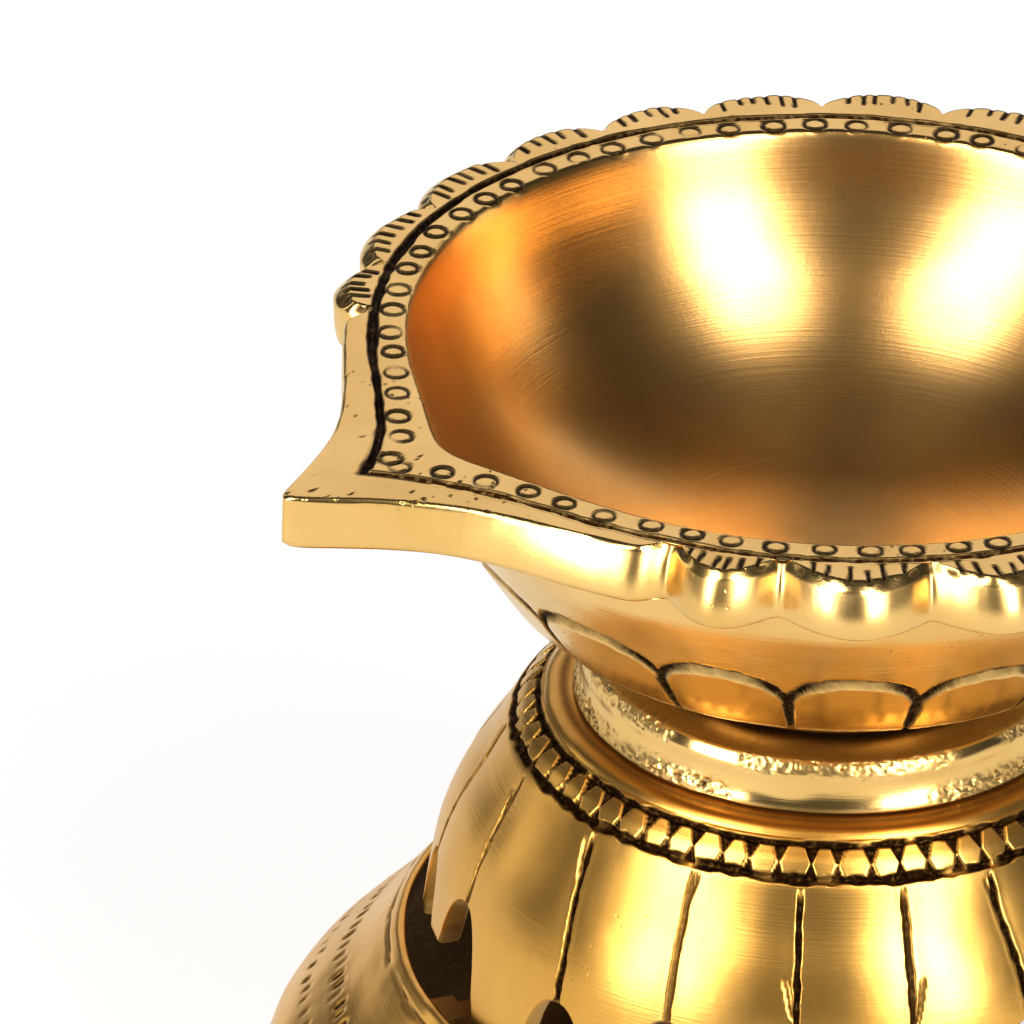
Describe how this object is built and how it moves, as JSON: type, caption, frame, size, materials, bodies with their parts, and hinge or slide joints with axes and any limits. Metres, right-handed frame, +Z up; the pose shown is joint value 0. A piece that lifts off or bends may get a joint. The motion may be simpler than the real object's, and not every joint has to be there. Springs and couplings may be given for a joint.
{
  "type": "brass oil lamp",
  "caption": "Small standing brass oil lamp: a lobed, spouted oil bowl that lifts off a neck collar and petal dome on a hollow bell base.",
  "frame": {"origin": "on the lamp's vertical axis, at the plane that the foot ring rests on", "axes": "+Z up along the lamp's axis, -Y towards the viewer's front, the spout's lip at 144.5 degrees clockwise from +X seen from above"},
  "size_m": [0.1092, 0.1092, 0.099],
  "materials": {
    "bowl_brass": "polished and fine-brushed, dark in the chased lines",
    "stand_brass": "polished, with dark chased lines and rough brazing at the collar",
    "base_brass": "satin polished, with dark chased marks",
    "raw_brass": "as cast and as turned, dull"
  },
  "bodies": {
    "stand": {"neck_collar": "stand_brass", "petal_dome": "stand_brass", "tie_stud": "raw_brass", "base_bell": "base_brass", "base_spider": "raw_brass", "spider_washer": "raw_brass", "tie_nut": "raw_brass"},
    "bowl": {"oil_bowl": "bowl_brass", "bowl_stud": "raw_brass"}
  },
  "joints": [
    {"name": "bowl_lift", "type": "slide", "parent": "stand", "child": "bowl", "axis": [0, 0, 1], "range_m": [0, 0.016]}
  ]
}
